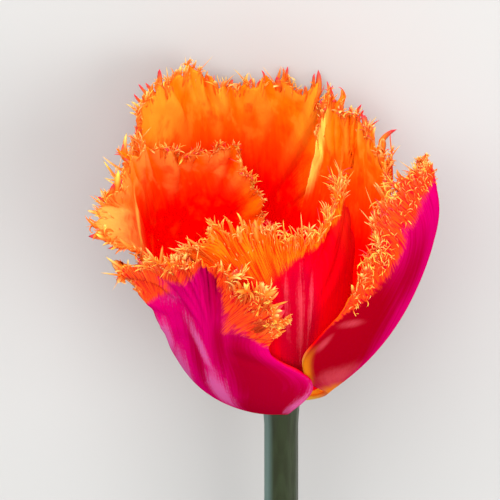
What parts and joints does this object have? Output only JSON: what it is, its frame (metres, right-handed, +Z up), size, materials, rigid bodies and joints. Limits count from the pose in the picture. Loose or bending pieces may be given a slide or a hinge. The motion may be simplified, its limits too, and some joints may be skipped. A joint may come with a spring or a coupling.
{
  "type": "cut fringed tulip",
  "caption": "Single cut fringed tulip lying on its side: magenta and orange petals with hairy fringed edges, a pistil and stamens inside, and a bare stem.",
  "frame": {"origin": "on the surface that the tulip lies on, under the small flat belly of the bloom", "axes": "+Z up, +Y along the stem toward the opening of the bloom, +X to the right when looking along +Y"},
  "size_m": [0.076, 0.2609, 0.0683],
  "materials": {
    "outer_petal": "satin living petal, magenta with orange margins and a pale yellow base",
    "inner_petal": "satin living petal, orange and red with a yellow-orange fringe",
    "stem": "matt grey-green with a waxy bloom",
    "pistil": "matt yellow-green ovary with a pale stigma",
    "stamen": "dark purple powdery anthers on yellow-green filaments"
  },
  "bodies": {
    "root": {"stem": "stem", "petal_outer_front": "outer_petal", "petal_outer_right": "outer_petal", "petal_outer_back": "outer_petal", "petal_inner_front": "inner_petal", "petal_inner_right": "inner_petal", "petal_inner_left": "inner_petal", "pistil": "pistil", "stamen_1": "stamen", "stamen_2": "stamen", "stamen_3": "stamen", "stamen_4": "stamen", "stamen_5": "stamen", "stamen_6": "stamen"}
  },
  "joints": []
}
